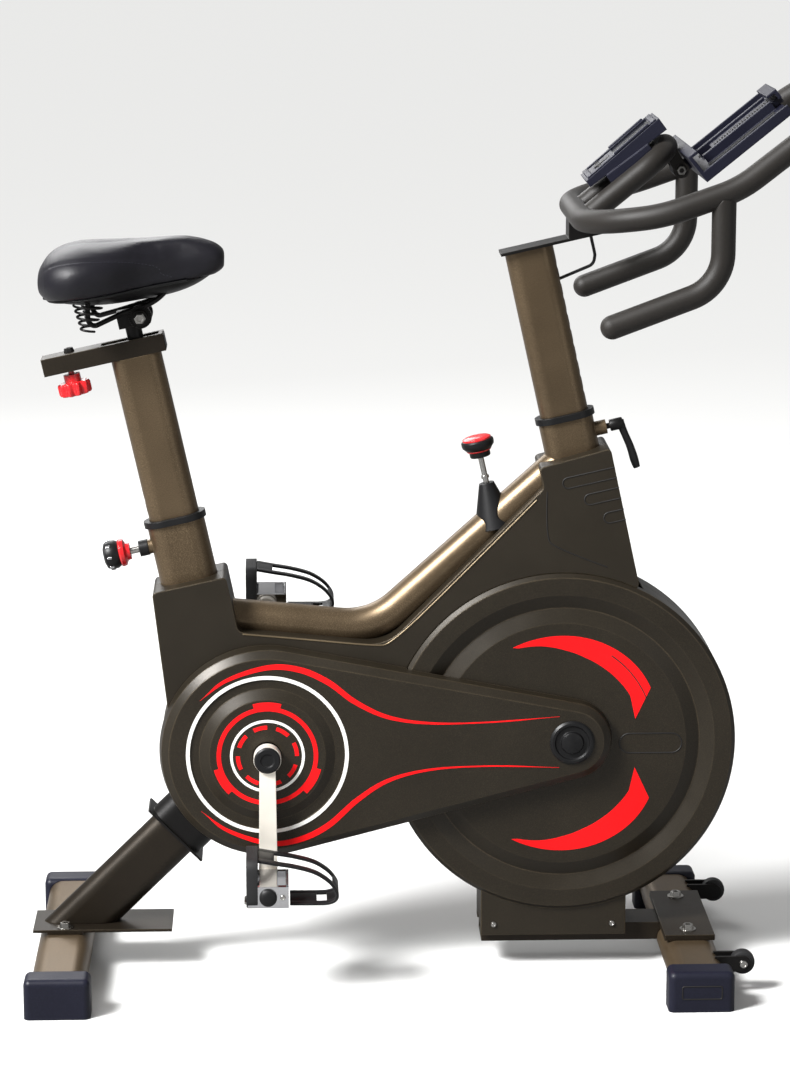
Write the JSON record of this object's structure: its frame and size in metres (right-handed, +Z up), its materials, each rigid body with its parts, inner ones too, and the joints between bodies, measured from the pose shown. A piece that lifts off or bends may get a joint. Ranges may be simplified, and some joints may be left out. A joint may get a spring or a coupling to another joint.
{
  "type": "exercise bike",
  "caption": "Upright indoor cycling bike with a covered flywheel, belt drive, sliding saddle, multi-grip handlebar, display and tablet tray on a two-foot base.",
  "frame": {"origin": "on the floor, under the middle of the whole bike's box", "axes": "+X forwards to the handlebar, +Z up, -Y the rider's right (drive) side"},
  "size_m": [1.123, 0.49, 1.24],
  "materials": {
    "frame_paint": "satin grained bronze-grey powder coat",
    "black_paint": "satin black",
    "navy_plastic": "moulded navy-black plastic",
    "cover_plastic": "warm charcoal plastic with a fine grain",
    "black_plastic": "moulded black plastic",
    "red_plastic": "red plastic",
    "steel": "bright steel",
    "chrome_metal": "chrome",
    "arm_metal": "satin silver",
    "iron": "machined cast iron",
    "belt_rubber": "ribbed belt",
    "bar_foam": "foam-covered steel tube",
    "cushion_vinyl": "navy-black vinyl over foam",
    "strap_rubber": "moulded strap"
  },
  "bodies": {
    "frame": {"seat_tube": "frame_paint", "seat_collar": "black_plastic", "top_tube": "frame_paint", "head_tube": "frame_paint", "head_collar": "black_plastic", "rear_leg": "frame_paint", "leg_collar": "black_paint", "bracket_shell": "frame_paint", "wheel_fork": "black_paint", "lower_rail": "frame_paint", "front_stabilizer": "frame_paint", "rear_stabilizer": "frame_paint", "mount_plates": "black_paint", "end_caps": "navy_plastic", "mount_bolts": "steel", "wheel_brackets": "black_paint", "fairing_right": "cover_plastic", "fairing_left": "cover_plastic", "wheel_cover_right": "cover_plastic", "wheel_cover_left": "cover_plastic", "belt_cover": "cover_plastic", "crank_disc_right": "cover_plastic", "crank_disc_left": "cover_plastic", "drive_belt": "belt_rubber", "resistance_cone": "black_plastic"},
    "crank": {"crank_spindle": "steel", "drive_pulley": "black_plastic", "crank_arm_right": "arm_metal", "crank_arm_left": "arm_metal"},
    "flywheel": {"flywheel": "iron", "flywheel_shaft": "steel"},
    "pedal_right": {"pedal_right": "chrome_metal", "toe_cage_right": "strap_rubber"},
    "pedal_left": {"pedal_left": "chrome_metal", "toe_cage_left": "strap_rubber"},
    "seat_post": {"seat_post": "frame_paint", "slider_sleeve": "frame_paint"},
    "seat_carriage": {"seat_carriage": "black_paint", "saddle_clamp": "black_paint"},
    "saddle": {"saddle_rails": "black_paint", "saddle_base": "black_plastic", "saddle_cushion": "cushion_vinyl"},
    "slider_knob": {"slider_knob": "red_plastic"},
    "seat_pin": {"seat_pin": "black_plastic"},
    "handlebar": {"handlebar_post": "frame_paint", "post_plate": "black_paint", "handlebar": "bar_foam", "drop_bars": "bar_foam", "inner_loop": "bar_foam", "console": "navy_plastic", "sensor_cable": "belt_rubber"},
    "console_button": {"console_button": "black_plastic"},
    "tablet_tray": {"tablet_holder": "navy_plastic"},
    "tablet_clamp": {"tablet_clamp": "navy_plastic"},
    "head_lever": {"head_lever": "black_plastic"},
    "resistance_stem": {"resistance_stem": "steel", "brake_carriage": "black_paint"},
    "resistance_knob": {"resistance_knob": "black_plastic"},
    "transport_wheel_right": {"transport_wheel_right": "black_plastic"},
    "transport_wheel_left": {"transport_wheel_left": "black_plastic"}
  },
  "joints": [
    {"name": "flywheel_spin", "type": "hinge", "parent": "frame", "child": "flywheel", "pos_m": [0.1913, 0, 0.3346], "axis": [0, 1, 0], "continuous": true},
    {"name": "crank_spin", "type": "hinge", "parent": "frame", "child": "crank", "pos_m": [-0.2305, 0, 0.321], "axis": [0, 1, 0], "continuous": true},
    {"name": "pedal_right_spin", "type": "hinge", "parent": "crank", "child": "pedal_right", "pos_m": [-0.2305, 0, 0.151], "axis": [0, 1, 0], "continuous": true},
    {"name": "pedal_left_spin", "type": "hinge", "parent": "crank", "child": "pedal_left", "pos_m": [-0.2305, 0, 0.491], "axis": [0, 1, 0], "continuous": true},
    {"name": "seat_height", "type": "slide", "parent": "frame", "child": "seat_post", "axis": [-0.2139, 0, 0.9769], "range_m": [-0.13, 0.04]},
    {"name": "seat_fore_aft", "type": "slide", "parent": "seat_post", "child": "seat_carriage", "axis": [0.9769, 0, 0.2139], "range_m": [-0.035, 0.02]},
    {"name": "saddle_tilt", "type": "hinge", "parent": "seat_carriage", "child": "saddle", "pos_m": [-0.39868, 0, 0.92399], "axis": [0, 1, 0], "range_deg": [-8, 8]},
    {"name": "slider_knob_turn", "type": "hinge", "parent": "seat_post", "child": "slider_knob", "pos_m": [-0.49449, 0, 0.84262], "axis": [-0.2139, 0, 0.9769], "range_deg": [0, 720]},
    {"name": "seat_pin_pull", "type": "slide", "parent": "frame", "child": "seat_pin", "axis": [-0.9769, 0, -0.2139], "range_m": [0, 0.008], "stiffness_N_per_m": 1500, "springref_m": -0.01},
    {"name": "handlebar_height", "type": "slide", "parent": "frame", "child": "handlebar", "axis": [-0.2181, 0, 0.9759], "range_m": [-0.07, 0.05]},
    {"name": "head_lever_turn", "type": "hinge", "parent": "frame", "child": "head_lever", "pos_m": [0.2212, 0, 0.76098], "axis": [0.9759, 0, 0.2181], "range_deg": [0, 360]},
    {"name": "resistance_press", "type": "slide", "parent": "frame", "child": "resistance_stem", "axis": [-0.2181, 0, 0.9759], "range_m": [-0.005, 0], "stiffness_N_per_m": 3000, "springref_m": 0.005},
    {"name": "resistance_turn", "type": "hinge", "parent": "resistance_stem", "child": "resistance_knob", "pos_m": [0.075, 0, 0.687], "axis": [-0.2181, 0, 0.9759], "range_deg": [-1080, 0]},
    {"name": "transport_wheel_right_roll", "type": "hinge", "parent": "frame", "child": "transport_wheel_right", "pos_m": [0.4225, -0.16, 0.043], "axis": [0, 1, 0], "continuous": true},
    {"name": "transport_wheel_left_roll", "type": "hinge", "parent": "frame", "child": "transport_wheel_left", "pos_m": [0.4225, 0.16, 0.043], "axis": [0, 1, 0], "continuous": true},
    {"name": "tablet_tilt", "type": "hinge", "parent": "handlebar", "child": "tablet_tray", "pos_m": [0.33503, 0, 1.12073], "axis": [0, 1, 0], "range_deg": [0, 25]},
    {"name": "tablet_clamp_slide", "type": "slide", "parent": "tablet_tray", "child": "tablet_clamp", "axis": [0.7771, 0, 0.6293], "range_m": [0, 0.03], "stiffness_N_per_m": 150, "springref_m": -0.02},
    {"name": "console_button_press", "type": "slide", "parent": "handlebar", "child": "console_button", "axis": [0.6018, 0, -0.7986], "range_m": [0, 0.002], "stiffness_N_per_m": 400, "springref_m": -0.002}
  ],
  "couplings": [
    {"joint": "crank_spin", "follows": "flywheel_spin", "ratio": 0.24138}
  ]
}
